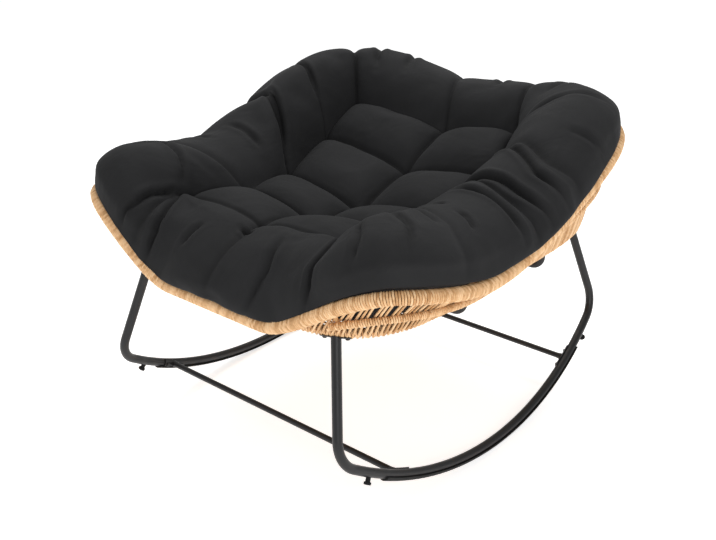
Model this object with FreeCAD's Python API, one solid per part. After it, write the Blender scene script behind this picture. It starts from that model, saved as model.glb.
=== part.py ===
"""Rattan rocking chair: a bent-tube rocker base, a wound basket seat and one tufted cushion.

Millimetres, +Z up. The chair faces -Y. The origin lies on the floor below the middle of the seat.
Angles round the basket are measured at its middle axis, from the front, towards +X.
"""
import FreeCAD
import Part
import functools
import math
import os

from FreeCAD import Vector

# Basket rim: outline seen from above, and heights of its centre line
rim_half_width = 475.0
rim_reach = 486.0
rim_front_squareness = 6.0
rim_back_squareness = 3.25
rim_front_height = 414.0
rim_corner_height = 540.0
rim_side_height = 510.0
rim_ear_height = 655.0
rim_back_height = 612.0
front_dip_half_angle = 15.0
front_corner_angle = 44.0
side_dip_angle = 64.0
ear_angle = 135.0
rim_tube_diameter = 20.0
rim_tube_wall = 1.5
rim_wrap_thickness = 4.0

# Lower ring of the basket
base_ring_half_width = 365.0
base_ring_reach = 450.0
base_ring_squareness = 4.6
base_ring_height = 420.0
base_ring_tube_diameter = 14.0
base_ring_tube_wall = 1.5
base_ring_wrap_thickness = 2.5

# Middle bar, ribs, woven walls and floor of the basket
mid_bar_diameter = 10.0
mid_bar_wrap_thickness = 2.5
mid_bar_overhang_angle = 1.6
front_rib_angle = 11.0
rib_angles = (33.0, 72.0, 106.0, 140.0)
back_rib_angle = 169.0
weave_thickness = 3.0
floor_drop = 28.0
floor_slope_run = 70.0
support_bar_diameter = 14.0
support_bar_bend = 25.0
support_bar_reach = 150.0

# Rocker base
side_tube_diameter = 20.0
side_tube_wall = 1.5
rocker_radius = 816.0
rocker_shift = 20.0
side_splay = 14.0
leg_angle = 32.2
leg_lean = 14.9
leg_bend_radius = 65.0
strip_thickness = 4.0
strip_half_length = 373.0
strip_edge_drop = 5.0
stretcher_diameter = 13.0
stretcher_wall = 1.2
stretcher_reach = 331.0
stretcher_flare_diameter = 19.0
stretcher_flare_length = 12.0
stop_peg_gap = 39.0
stop_peg_neck_diameter = 10.0
stop_peg_neck_length = 8.0
stop_peg_head_diameter = 15.0
stop_peg_head_length = 6.0
stop_peg_stem_diameter = 8.0
stop_peg_stem_length = 6.0
stop_peg_rounding = 1.5

# Saddle plates, bolts and threaded inserts
saddle_thickness = 2.5
stretcher_saddle_length = 62.0
stretcher_saddle_edge = 3.3
stretcher_bolt_spacing = 44.0
leg_saddle_length = 60.0
leg_saddle_edge = 6.0
leg_bolt_spacing = 44.0
bolt_diameter = 5.0
bolt_head_diameter = 9.5
bolt_head_height = 3.0
bolt_head_rounding = 1.5
bolt_socket_diameter = 3.4
bolt_socket_depth = 1.5
insert_diameter = 7.0
insert_length = 8.0

# Cushion: tuft loop, tuft heights, and the outer roll that lies on the rim
tuft_half_width = 220.0
tuft_squareness = 5.0
tuft_rows = (-345.0, -185.0, -38.0, 138.0, 284.0)
tuft_mid_heights = (500.0, 472.0, 455.0, 509.0, 587.0)
tuft_side_heights = (520.0, 512.0, 500.0, 548.0, 620.0)
cell_crown = 54.0
cell_seam_lift = 18.0
petal_seam_angles = (0.0, 33.0, 58.0, 88.0, 118.0, 147.0, 180.0)
petal_crown_heights = (104.0, 108.0, 112.0, 96.0, 90.0, 88.0)
petal_seam_drop = 18.0
petal_crown_inset = 62.0
petal_bulge_share = 0.27
petal_seam_bulge_share = 0.14
petal_side_proud = 3.0
petal_seam_pinch = 8.0
petal_side_height = 50.0
flange_width = 16.0
flange_sink = 6.0
flange_lift = 5.0
seam_softness = 0.6

# Steps along the curved forms
ring_spans = 14
outline_points = 36
wall_section_angle = 7.0
wall_least_sections = 4
petal_sections = 4

# Clearances
fit_gap = 0.05
hole_gap = 0.2
mid_bar_gap = 0.6
cushion_gap = 3.0
cushion_floor_inset = 10.0

# Values worked out from the sizes above
rim_tube_radius = rim_tube_diameter / 2
rim_wrap_radius = rim_tube_radius + rim_wrap_thickness
base_ring_tube_radius = base_ring_tube_diameter / 2
base_ring_wrap_radius = base_ring_tube_radius + base_ring_wrap_thickness
mid_bar_radius = mid_bar_diameter / 2
mid_bar_wrap_radius = mid_bar_radius + mid_bar_wrap_thickness
mid_bar_offset = mid_bar_wrap_radius + weave_thickness / 2 + mid_bar_gap
rib_radius = mid_bar_offset - mid_bar_radius - mid_bar_gap
side_tube_radius = side_tube_diameter / 2
stop_peg_reach = strip_half_length + stop_peg_gap
floor_height = base_ring_height - floor_drop
splay = math.radians(side_splay)
UP = Vector(0, 0, 1)
MIDDLE = Vector(0, 0, 0)
SIDEWAYS = Vector(1, 0, 0)


def ease(share):
    """Smooth step from 0 to 1."""
    share = min(max(share, 0.0), 1.0)
    return share * share * (3 - 2 * share)


def blend_stations(stations, position):
    """Height at a position, eased between neighbouring (position, height) stations."""
    for (start, low), (end, high) in zip(stations, stations[1:]):
        if position <= end:
            return low + (high - low) * ease((position - start) / (end - start))
    return stations[-1][1]


def outline_radius(angle, half_width, reach, squareness):
    """Distance from the middle axis to a rounded-square outline at an angle from the front."""
    across = abs(math.sin(angle)) / half_width
    along = abs(math.cos(angle)) / reach
    return (across ** squareness + along ** squareness) ** (-1 / squareness)


def outline_half_width(y, half_width, reach, squareness):
    """Half the width of a rounded-square outline at a place along Y."""
    return half_width * (1 - min(abs(y) / reach, 1.0) ** squareness) ** (1 / squareness)


def polar(angle, radius, height):
    return Vector(radius * math.sin(angle), -radius * math.cos(angle), height)


def rim_point(angle):
    """Rim centre line: low front, raised front corners, dipped sides and two ears at the back."""
    stations = [
        (0.0, rim_front_height),
        (front_dip_half_angle, rim_front_height),
        (front_corner_angle, rim_corner_height),
        (side_dip_angle, rim_side_height),
        (ear_angle, rim_ear_height),
        (180.0, rim_back_height),
    ]
    turn = math.degrees(abs(math.remainder(angle, 2 * math.pi)))
    squareness = rim_front_squareness if turn < 90.0 else rim_back_squareness
    radius = outline_radius(angle, rim_half_width, rim_reach, squareness)
    return polar(angle, radius, blend_stations(stations, turn))


def base_ring_point(angle):
    radius = outline_radius(angle, base_ring_half_width, base_ring_reach, base_ring_squareness)
    return polar(angle, radius, base_ring_height)


def tangent_of(curve, angle):
    step = 1e-4
    return (curve(angle + step) - curve(angle - step)).normalize()


def wall_point(angle):
    """Point halfway up the straight wall between lower ring and rim."""
    return (rim_point(angle) + base_ring_point(angle)) * 0.5


def wall_normal(angle):
    """Outward direction square to the wall."""
    rise = rim_point(angle) - base_ring_point(angle)
    return tangent_of(wall_point, angle).cross(rise).normalize()


def mid_bar_point(angle):
    return wall_point(angle) + wall_normal(angle) * mid_bar_offset


def arc_edge(start, start_tangent, end):
    """Circular arc that leaves start along its tangent and reaches end."""
    chord = end - start
    side = chord - start_tangent * chord.dot(start_tangent)
    if side.Length < 1e-5:
        return Part.LineSegment(start, end).toShape()
    inward = Vector(side).normalize()
    radius = chord.dot(chord) / (2 * chord.dot(inward))
    centre = start + inward * radius
    outward = (start + chord * 0.5 - centre).normalize()
    return Part.Arc(start, centre + outward * radius, end).toShape()


def arc_path(curve, first, last, spans):
    """Wire of tangent arcs, two for each span, that follows a smooth curve of angles."""
    angles = [first + (last - first) * index / spans for index in range(spans + 1)]
    edges = []
    for here, there in zip(angles, angles[1:]):
        start, end = curve(here), curve(there)
        leave, arrive = tangent_of(curve, here), tangent_of(curve, there)
        chord = end - start
        along = chord.dot(leave + arrive)
        bend = 2 * (1 - leave.dot(arrive))
        if bend < 1e-9:
            handle = chord.dot(chord) / (2 * along)
        else:
            handle = (math.sqrt(along * along + bend * chord.dot(chord)) - along) / bend
        joint = (start + end + (leave - arrive) * handle) * 0.5
        joint_tangent = (end - start - (leave + arrive) * handle).normalize()
        edges.append(arc_edge(start, leave, joint))
        edges.append(arc_edge(joint, joint_tangent, end))
    return Part.Wire(edges)


def bar_along(path, radius):
    """Round bar along a wire of lines and arcs."""
    first = path.OrderedEdges[0]
    start = first.valueAt(first.FirstParameter)
    direction = first.tangentAt(first.FirstParameter)
    if path.OrderedVertexes[0].Point.distanceToPoint(start) > 1e-6:
        start = first.valueAt(first.LastParameter)
        direction = first.tangentAt(first.LastParameter)
    profile = Part.Wire(Part.makeCircle(radius, start, direction))
    return path.makePipeShell([profile], True, False)


def largest_solid(shape):
    return max(shape.Solids, key=lambda solid: solid.Volume)


def mirrored(shape):
    return shape.mirror(MIDDLE, SIDEWAYS)


def both_halves(half):
    """Whole piece from its right half, which ends on the middle plane."""
    return half.fuse(mirrored(half)).removeSplitter()


rim_path = arc_path(rim_point, 0.0, math.pi, ring_spans)
base_ring_path = arc_path(base_ring_point, 0.0, math.pi, ring_spans)
mid_bar_start = math.radians(rib_angles[0] - mid_bar_overhang_angle)
mid_bar_path = arc_path(mid_bar_point, mid_bar_start, math.pi, ring_spans)


@functools.lru_cache
def rim_bar(radius):
    return both_halves(bar_along(rim_path, radius))


@functools.lru_cache
def base_ring_bar(radius):
    return both_halves(bar_along(base_ring_path, radius))


@functools.lru_cache
def mid_bar(radius):
    return both_halves(bar_along(mid_bar_path, radius))


def cylinder_between(start, end, radius):
    axis = end - start
    return Part.makeCylinder(radius, axis.Length, start, axis)


def box_on(centre, along, up, length, width, height):
    """Box centred at a point, with its length and height set along two square directions."""
    box = Part.makeBox(length, width, height, Vector(-length / 2, -width / 2, -height / 2))
    side = up.cross(along)
    turn = FreeCAD.Rotation(along, side, up, "ZXY")
    box.Placement = FreeCAD.Placement(centre, turn)
    return box


# Side frame: its plane leans inwards, u runs front to back and w runs up the plane
def leg_attach(sign):
    """Centre of the lower ring above a front leg (sign -1) or a rear leg (sign +1), right side."""
    point = base_ring_point(math.radians(leg_angle))
    return Vector(point.x, -sign * point.y, point.z)


frame_half_spacing = leg_attach(-1).x + base_ring_height * math.tan(splay)
frame_up = Vector(-math.sin(splay), 0, math.cos(splay))
frame_normal = Vector(math.cos(splay), 0, math.sin(splay))
rocker_low = (side_tube_radius + strip_thickness) / math.cos(splay)
rocker_centre_rise = rocker_low + rocker_radius


def on_frame(u, w):
    return Vector(frame_half_spacing, u, 0) + frame_up * w


rocker_centre = on_frame(rocker_shift, rocker_centre_rise)


def rocker_point(u):
    """Rocker centre line at a distance u behind the middle."""
    fall = math.sqrt(rocker_radius ** 2 - (u - rocker_shift) ** 2)
    return on_frame(u, rocker_centre_rise - fall)


def rocker_arc(first, last):
    middle = rocker_point((first + last) / 2)
    return Part.Arc(rocker_point(first), middle, rocker_point(last)).toShape()


def leg_bend(sign):
    """Bend below a front or rear leg: its end on the leg, its middle and its end on the rocker."""
    lean = math.radians(leg_lean)
    top = leg_attach(-1)
    top_u, top_w = top.y + sign * rocker_shift, top.z / math.cos(splay)
    rise_u, rise_w = math.sin(lean), math.cos(lean)
    offset_u = top_u + leg_bend_radius * rise_w
    offset_w = top_w - leg_bend_radius * rise_u - rocker_centre_rise
    reach = offset_u * rise_u + offset_w * rise_w
    room = reach ** 2 - offset_u ** 2 - offset_w ** 2 + (rocker_radius - leg_bend_radius) ** 2
    slide = -reach - math.sqrt(room)
    on_leg = (top_u + slide * rise_u, top_w + slide * rise_w)
    centre = (offset_u + slide * rise_u, rocker_centre_rise + offset_w + slide * rise_w)
    scale = rocker_radius / (rocker_radius - leg_bend_radius)
    on_rocker = (centre[0] * scale, rocker_centre_rise + (centre[1] - rocker_centre_rise) * scale)
    out_u = on_leg[0] + on_rocker[0] - 2 * centre[0]
    out_w = on_leg[1] + on_rocker[1] - 2 * centre[1]
    shrink = leg_bend_radius / math.hypot(out_u, out_w)
    middle = (centre[0] + out_u * shrink, centre[1] + out_w * shrink)
    return [on_frame(rocker_shift - sign * u, w) for u, w in (on_leg, middle, on_rocker)]


def side_frame_path():
    """Right side frame from the top of the front leg to the top of the rear leg."""
    front = leg_bend(-1)
    rear = leg_bend(1)
    return Part.Wire([
        Part.LineSegment(leg_attach(-1), front[0]).toShape(),
        Part.Arc(*front).toShape(),
        Part.Arc(front[2], on_frame(rocker_shift, rocker_low), rear[2]).toShape(),
        Part.Arc(rear[2], rear[1], rear[0]).toShape(),
        Part.LineSegment(rear[0], leg_attach(1)).toShape(),
    ])


def rocker_direction(u):
    """Direction away from the rocker's centre, at a distance u behind the middle."""
    return (rocker_point(u) - rocker_centre).normalize()


def rocker_drum(drop):
    """Flat drum inside the rocker, whose edge lies a drop below the tube's centre line."""
    reach = 4 * side_tube_radius
    start = rocker_centre - frame_normal * reach
    return Part.makeCylinder(rocker_radius + drop, 2 * reach, start, frame_normal)


def stretcher_bolt_places(u):
    half = stretcher_bolt_spacing / 2
    return [rocker_point(u - half), rocker_point(u + half)]


def leg_bolt_places(sign):
    """Points on the lower ring's centre line where a leg's two bolts enter."""
    point = leg_attach(sign)
    half_turn = leg_bolt_spacing / 2 / math.hypot(point.x, point.y)
    middle = math.radians(leg_angle)
    places = [base_ring_point(middle + turn) for turn in (-half_turn, half_turn)]
    return [Vector(place.x, -sign * place.y, place.z) for place in places]


def bolt(seat, axis, grip):
    """Button-head bolt: its head rests on seat, its shank runs along axis."""
    head = Part.makeCylinder(bolt_head_diameter / 2, bolt_head_height, seat, axis * -1)
    top = seat - axis * bolt_head_height
    head = head.makeFillet(bolt_head_rounding, [edge_at(head, top)])
    socket = Part.makeCylinder(bolt_socket_diameter / 2, bolt_socket_depth, top, axis)
    shank = Part.makeCylinder(bolt_diameter / 2, grip, seat, axis)
    return head.cut(socket).fuse(shank).removeSplitter()


def edge_at(shape, centre):
    """Circular edge of a shape whose centre is nearest to a point."""
    circles = [edge for edge in shape.Edges if isinstance(edge.Curve, Part.Circle)]
    return min(circles, key=lambda edge: edge.Curve.Center.distanceToPoint(centre))


def threaded_insert(mouth, axis):
    """Threaded insert set into a tube wall, open at its mouth."""
    body = Part.makeCylinder(insert_diameter / 2, insert_length, mouth, axis)
    return body.cut(Part.makeCylinder(bolt_diameter / 2 + fit_gap, insert_length, mouth, axis))


def insert_depth(tube_radius):
    """Distance from a tube's axis to the mouth of an insert that lies below the tube's surface."""
    return math.sqrt(tube_radius ** 2 - (insert_diameter / 2) ** 2)


def insert_hole(mouth, axis):
    radius = insert_diameter / 2 + fit_gap
    return Part.makeCylinder(radius, insert_length, mouth - axis * insert_length / 2, axis)


def bolt_hole(mouth, axis):
    """Clearance hole for a bolt through what lies outside the insert."""
    radius = bolt_diameter / 2 + hole_gap
    return Part.makeCylinder(radius, 2 * insert_length, mouth - axis * insert_length, axis)


def ring_bar_at_leg(sign, radius):
    """Stretch of the lower ring above a right leg, as a bar of another radius."""
    reach = leg_saddle_length / leg_attach(-1).x
    middle = math.radians(leg_angle)
    bar = bar_along(arc_path(base_ring_point, middle - reach, middle + reach, 4), radius)
    return bar if sign < 0 else bar.mirror(MIDDLE, Vector(0, 1, 0))


saddle_radius = side_tube_radius + saddle_thickness
leg_saddle_radius = base_ring_wrap_radius + saddle_thickness
bolt_grip = saddle_thickness + insert_length
inwards = frame_normal * -1


def stretcher_saddle(u):
    """Curved plate round the inner side of the rocker tube, with two bolt holes."""
    half = stretcher_saddle_length / 2
    path = Part.Wire([rocker_arc(u - half, u + half)])
    plate = bar_along(path, saddle_radius).cut(bar_along(path, side_tube_radius + fit_gap))
    keep = box_on(
        rocker_point(u) + inwards * (stretcher_saddle_edge + saddle_radius),
        frame_normal.cross(rocker_direction(u)),
        frame_normal,
        2 * stretcher_saddle_length,
        4 * saddle_radius,
        2 * saddle_radius,
    )
    plate = plate.common(keep).common(rocker_drum(strip_edge_drop - fit_gap))
    mouths = [place + inwards * saddle_radius for place in stretcher_bolt_places(u)]
    return plate.cut([bolt_hole(mouth, frame_normal) for mouth in mouths])


def stretcher(u):
    """Cross tube whose flared ends meet both saddles."""
    end = rocker_point(u)
    start = Vector(-end.x, end.y, end.z)
    bore = cylinder_between(start, end, stretcher_diameter / 2 - stretcher_wall)
    tube = cylinder_between(start, end, stretcher_diameter / 2)
    half = stretcher_saddle_length / 2
    path = Part.Wire([rocker_arc(u - half, u + half)])
    block = bar_along(path, saddle_radius + fit_gap)
    strip_room = bar_along(path, side_tube_radius + strip_thickness + fit_gap)
    strip_room = strip_room.cut(rocker_drum(strip_edge_drop - fit_gap))
    face = end.x - saddle_radius
    flare = Part.makeCone(
        stretcher_diameter / 2,
        stretcher_flare_diameter / 2,
        stretcher_flare_length + saddle_radius,
        Vector(face - stretcher_flare_length, end.y, end.z),
        SIDEWAYS,
    )
    tube = tube.fuse([flare, mirrored(flare)])
    tube = tube.cut([bore, block, mirrored(block), strip_room, mirrored(strip_room)])
    return largest_solid(tube)


def rocker_strip():
    """Wear strip of crescent section under the rocker tube."""
    path = Part.Wire([rocker_arc(-strip_half_length, strip_half_length)])
    strip = bar_along(path, side_tube_radius + strip_thickness)
    strip = strip.cut(bar_along(path, side_tube_radius + fit_gap))
    return strip.cut(rocker_drum(strip_edge_drop))


def stop_peg(u):
    """Bumper under the rocker's end: stem in the tube, neck and wider head."""
    axis = rocker_direction(u)
    centre = rocker_point(u)
    surface = centre + axis * side_tube_radius
    neck_end = surface + axis * stop_peg_neck_length
    neck = cylinder_between(centre, neck_end, stop_peg_neck_diameter / 2)
    near = Part.Wire([rocker_arc(u - stop_peg_head_diameter, u + stop_peg_head_diameter)])
    neck = neck.cut(bar_along(near, side_tube_radius + fit_gap))
    head_end = neck_end + axis * stop_peg_head_length
    head = cylinder_between(neck_end, head_end, stop_peg_head_diameter / 2)
    head = head.makeFillet(stop_peg_rounding, [edge_at(head, neck_end), edge_at(head, head_end)])
    stem_end = surface - axis * stop_peg_stem_length
    stem = cylinder_between(stem_end, neck_end, stop_peg_stem_diameter / 2)
    return neck.fuse([head, stem]).removeSplitter()


def stop_peg_hole(u):
    axis = rocker_direction(u)
    centre = rocker_point(u)
    end = centre + axis * 2 * side_tube_radius
    return cylinder_between(centre, end, stop_peg_stem_diameter / 2 + fit_gap)


def side_frame():
    """Right side frame tube with its stop-peg, insert and coped leg ends."""
    path = side_frame_path()
    tube = bar_along(path, side_tube_radius)
    tube = tube.cut(bar_along(path, side_tube_radius - side_tube_wall))
    holes = [stop_peg_hole(u) for u in (-stop_peg_reach, stop_peg_reach)]
    for u in (-stretcher_reach, stretcher_reach):
        for place in stretcher_bolt_places(u):
            mouth = place + inwards * insert_depth(side_tube_radius)
            holes.append(insert_hole(mouth, frame_normal))
    copes = [ring_bar_at_leg(sign, leg_saddle_radius + fit_gap) for sign in (-1, 1)]
    tube = tube.cut(holes + copes)
    return largest_solid(tube)


def leg_saddle(sign):
    """Curved plate under the lower ring, welded to a leg top, with two bolt holes."""
    centre = leg_attach(sign)
    along = tangent_of(base_ring_point, math.radians(leg_angle))
    along = Vector(along.x, -sign * along.y, 0).normalize()
    plate = ring_bar_at_leg(sign, leg_saddle_radius)
    plate = plate.cut(base_ring_bar(base_ring_wrap_radius + fit_gap))
    keep_height = 2 * leg_saddle_radius
    keep = box_on(
        centre - UP * (keep_height / 2 + leg_saddle_edge),
        along,
        UP,
        leg_saddle_length,
        4 * leg_saddle_radius,
        keep_height,
    )
    plate = plate.common(keep)
    holes = [bolt_hole(place - UP * leg_saddle_radius, UP) for place in leg_bolt_places(sign)]
    return plate.cut(holes)


def rib(turn, radius):
    """Straight rod from the lower ring's centre line to the rim's, at a turn in degrees."""
    angle = math.radians(turn)
    return cylinder_between(base_ring_point(angle), rim_point(angle), radius)


def support_bar(sign):
    """Bar under the woven floor: dropped ends under the lower ring, straight in the middle."""
    y = sign * support_bar_reach
    x = outline_half_width(y, base_ring_half_width, base_ring_reach, base_ring_squareness)
    z = floor_height - weave_thickness / 2 - support_bar_diameter / 2 - fit_gap
    bend = support_bar_bend
    knee = bend * (1 - math.sqrt(0.5))
    ends = []
    for side in (1, -1):
        ends.append([
            Vector(side * x, y, base_ring_height),
            Vector(side * x, y, z + bend),
            Vector(side * (x - knee), y, z + knee),
            Vector(side * (x - bend), y, z),
        ])
    right, left = ends
    path = Part.Wire([
        Part.LineSegment(right[0], right[1]).toShape(),
        Part.Arc(*right[1:]).toShape(),
        Part.LineSegment(right[3], left[3]).toShape(),
        Part.Arc(left[3], left[2], left[1]).toShape(),
        Part.LineSegment(left[1], left[0]).toShape(),
    ])
    return bar_along(path, support_bar_diameter / 2)


def wall_section(angle):
    """Thin upright section of the woven wall, from the lower ring to the rim."""
    low, high = base_ring_point(angle), rim_point(angle)
    half = wall_normal(angle) * (weave_thickness / 2)
    return Part.makePolygon([low - half, high - half, high + half, low + half, low - half])


def woven_wall(first, last):
    """Woven wall between two ribs, ending inside the rings."""
    sections = max(wall_least_sections, round((last - first) / wall_section_angle))
    turns = [first + (last - first) * index / sections for index in range(sections + 1)]
    return Part.makeLoft([wall_section(math.radians(turn)) for turn in turns], True, False)


def outline_wire(half_width, reach, squareness, height):
    """Smooth closed outline of a rounded square, lying flat."""
    points = []
    for step in range(outline_points):
        angle = 2 * math.pi * step / outline_points
        points.append(polar(angle, outline_radius(angle, half_width, reach, squareness), height))
    curve = Part.BSplineCurve()
    curve.interpolate(points, PeriodicFlag=True)
    return Part.Wire(curve.toShape())


def tray_solid(inset, low, high):
    """Solid tray that narrows downwards with the floor's slope, from height low to height high."""
    wires = []
    for height in (low, high):
        narrow = inset + (base_ring_height - height) * floor_slope_run / floor_drop
        wires.append(outline_wire(
            base_ring_half_width - narrow,
            base_ring_reach - narrow,
            base_ring_squareness,
            height,
        ))
    return Part.makeLoft(wires, True, True)


def woven_floor():
    """Shallow woven tray whose edge beds on the inner side of the lower ring."""
    half = weave_thickness / 2
    slope = math.atan2(floor_drop, floor_slope_run)
    edge_run = (base_ring_wrap_radius + fit_gap) * math.cos(slope) + half
    edge_height = base_ring_height - edge_run * math.tan(slope)
    outside = tray_solid(-half, floor_height - half, edge_height)
    inside = tray_solid(half, floor_height + half, edge_height + weave_thickness)
    return outside.cut(inside)


# Cushion
def tuft_height(angle):
    """Height of the tuft loop at an angle."""
    stations = [(0.0, tuft_mid_heights[0])]
    for y, height in zip(tuft_rows, tuft_side_heights):
        stations.append((math.degrees(math.atan2(tuft_half_width, -y)), height))
    stations.append((180.0, tuft_mid_heights[-1]))
    return blend_stations(stations, math.degrees(angle))


def tuft_reach(angle):
    reach = -tuft_rows[0] if angle < math.pi / 2 else tuft_rows[-1]
    return outline_radius(angle, tuft_half_width, reach, tuft_squareness)


def cushion_floor():
    return floor_height + weave_thickness / 2 + cushion_gap


def roll_section(angle, swell, crown):
    """Upright section of the outer roll, from the tuft loop out over the rim: swell 0 at a seam."""
    bulge_share = petal_seam_bulge_share + (petal_bulge_share - petal_seam_bulge_share) * swell
    proud = petal_side_proud - petal_seam_pinch * (1 - swell)
    rim, ring = rim_point(angle), base_ring_point(angle)
    rim_out, ring_out = math.hypot(rim.x, rim.y), math.hypot(ring.x, ring.y)
    floor_out = outline_radius(
        angle,
        base_ring_half_width - floor_slope_run,
        base_ring_reach - floor_slope_run,
        base_ring_squareness,
    )
    across = Vector(math.cos(angle), math.sin(angle), 0)
    clear = (rim_wrap_radius + cushion_gap) / tangent_of(rim_point, angle).dot(across)
    ring_clear = (base_ring_wrap_radius + cushion_gap) / tangent_of(base_ring_point, angle).dot(across)
    slant = math.sqrt(0.5)
    lean = max(math.pi / 4, math.atan2(rim.z - ring.z, rim_out - ring_out))
    inner, tuft = tuft_reach(angle), tuft_height(angle)
    corner = {
        "tuft": (inner, tuft),
        "inner_foot": (inner, cushion_floor()),
        "floor_edge": (floor_out - cushion_floor_inset, cushion_floor()),
        "over_ring": (ring_out - ring_clear * slant, ring.z + ring_clear),
        "inside_rim": (rim_out - clear * math.sin(lean), rim.z + clear * math.cos(lean)),
        "rim_shoulder": (rim_out - clear * math.sin(lean / 2), rim.z + clear * math.cos(lean / 2)),
        "rim_top": (rim_out, rim.z + clear),
        "side": (rim_out + proud, rim.z + petal_side_height),
        "crown": (rim_out - petal_crown_inset, rim.z + crown),
    }
    run = corner["crown"][0] - inner
    drop = corner["crown"][1] - tuft
    corner["slope"] = (
        (corner["crown"][0] + inner) / 2 - bulge_share * drop,
        (corner["crown"][1] + tuft) / 2 + bulge_share * run,
    )
    place = {name: polar(angle, out, height) for name, (out, height) in corner.items()}
    return [
        Part.LineSegment(place["inner_foot"], place["floor_edge"]).toShape(),
        Part.LineSegment(place["floor_edge"], place["over_ring"]).toShape(),
        Part.LineSegment(place["over_ring"], place["inside_rim"]).toShape(),
        Part.Arc(place["inside_rim"], place["rim_shoulder"], place["rim_top"]).toShape(),
        Part.Arc(place["rim_top"], place["side"], place["crown"]).toShape(),
        Part.Arc(place["crown"], place["slope"], place["tuft"]).toShape(),
    ]


def skin_between(chains):
    """Faces through open chains of edges: the lofted skin and the ruled face that closes it."""
    skin = Part.makeLoft([Part.Wire(chain) for chain in chains], False, False)
    first = Part.Wire(chains[0]).OrderedVertexes
    last = Part.Wire(chains[-1]).OrderedVertexes
    lengthwise = []
    for index in (0, -1):
        ends = (first[index].Point, last[index].Point)
        lengthwise.append(next(edge for edge in skin.Edges if joins(edge, *ends)))
    return skin.Faces + [Part.makeRuledSurface(*lengthwise)]


def joins(edge, start, end):
    """Whether an edge runs between two points."""
    for point in (start, end):
        if min(vertex.Point.distanceToPoint(point) for vertex in edge.Vertexes) > 1e-4:
            return False
    return True


def end_face(chain):
    """Flat end of a form, bounded by a chain of edges and the line that closes it."""
    points = [vertex.Point for vertex in Part.Wire(chain).OrderedVertexes]
    closing = Part.LineSegment(points[-1], points[0]).toShape()
    return Part.Face(Part.Wire(list(chain) + [closing]))


def sewn_solid(faces):
    """Solid enclosed by faces that share their edges."""
    shell = Part.makeCompound(faces)
    shell.sewShape(1e-3)
    solid = Part.makeSolid(shell.Shells[0])
    return solid if solid.Volume > 0 else solid.reversed()


def outer_roll():
    """Ring of puffed petals, split by sewn seams."""
    faces = []
    crowns = petal_crown_heights
    neighbours = zip((crowns[0],) + crowns, crowns + (crowns[-1],))
    seams = [(before + after) / 2 - petal_seam_drop for before, after in neighbours]
    for index, crown in enumerate(crowns):
        here, there = petal_seam_angles[index], petal_seam_angles[index + 1]
        chains = []
        for step in range(petal_sections + 1):
            share = step / petal_sections
            swell = math.sin(math.pi * share) ** seam_softness
            seam = seams[index] + (seams[index + 1] - seams[index]) * share
            turn = math.radians(here + (there - here) * share)
            chains.append(roll_section(turn, swell, seam + (crown - seam) * swell))
        faces += skin_between(chains)
    return sewn_solid(faces + [mirrored(face) for face in faces])


def pad_section(y, mid_height, side_height, crown):
    """Cross section of the inner pad: one crowned cell each side of the middle seam, and a flange."""
    floor = cushion_floor() + flange_lift
    brink = tuft_half_width + flange_width

    def place(x, z):
        return Vector(x, y, z)

    right = [
        Part.Arc(
            place(0, mid_height),
            place(tuft_half_width / 2, (mid_height + side_height) / 2 + crown),
            place(tuft_half_width, side_height),
        ).toShape(),
        Part.LineSegment(place(tuft_half_width, side_height), place(brink, side_height)).toShape(),
        Part.LineSegment(place(brink, side_height), place(brink, floor)).toShape(),
    ]
    left = [
        Part.LineSegment(place(-brink, floor), place(-brink, side_height)).toShape(),
        Part.LineSegment(place(-brink, side_height), place(-tuft_half_width, side_height)).toShape(),
        Part.Arc(
            place(-tuft_half_width, side_height),
            place(-tuft_half_width / 2, (mid_height + side_height) / 2 + crown),
            place(0, mid_height),
        ).toShape(),
    ]
    return left + right


def inner_pad():
    """Two columns of crowned cells between the tuft rows, with a flange that lies inside the roll."""
    rows = []
    for y, mid, side in zip(tuft_rows, tuft_mid_heights, tuft_side_heights):
        rows.append((y, mid, side - flange_sink))
    front, back = rows[0], rows[-1]
    rows.insert(0, (front[0] - flange_width, front[1], front[2]))
    rows.append((back[0] + flange_width, back[1], back[2]))
    faces = []
    for (y, mid, side), (next_y, next_mid, next_side) in zip(rows, rows[1:]):
        inside = front[0] <= y < back[0]
        chains = []
        for step in range(petal_sections + 1):
            share = step / petal_sections
            swell = math.sin(math.pi * share) ** seam_softness if inside else 0.0
            chains.append(pad_section(
                y + (next_y - y) * share,
                mid + (next_mid - mid) * share + cell_seam_lift * swell,
                side + (next_side - side) * share + cell_seam_lift * swell,
                cell_seam_lift + (cell_crown - cell_seam_lift) * swell,
            ))
        faces += skin_between(chains)
        if y == rows[0][0]:
            faces.append(end_face(chains[0]))
    return sewn_solid(faces + [end_face(chains[-1])])


def cushion():
    """One tufted cushion: outer roll and inner pad."""
    return outer_roll().fuse(inner_pad())


def named_sides(name, right):
    return {"left_" + name: mirrored(right), "right_" + name: right}


def corner_name(name, sign, side):
    return "{}_{}_{}".format("front" if sign < 0 else "rear", side, name)


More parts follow.
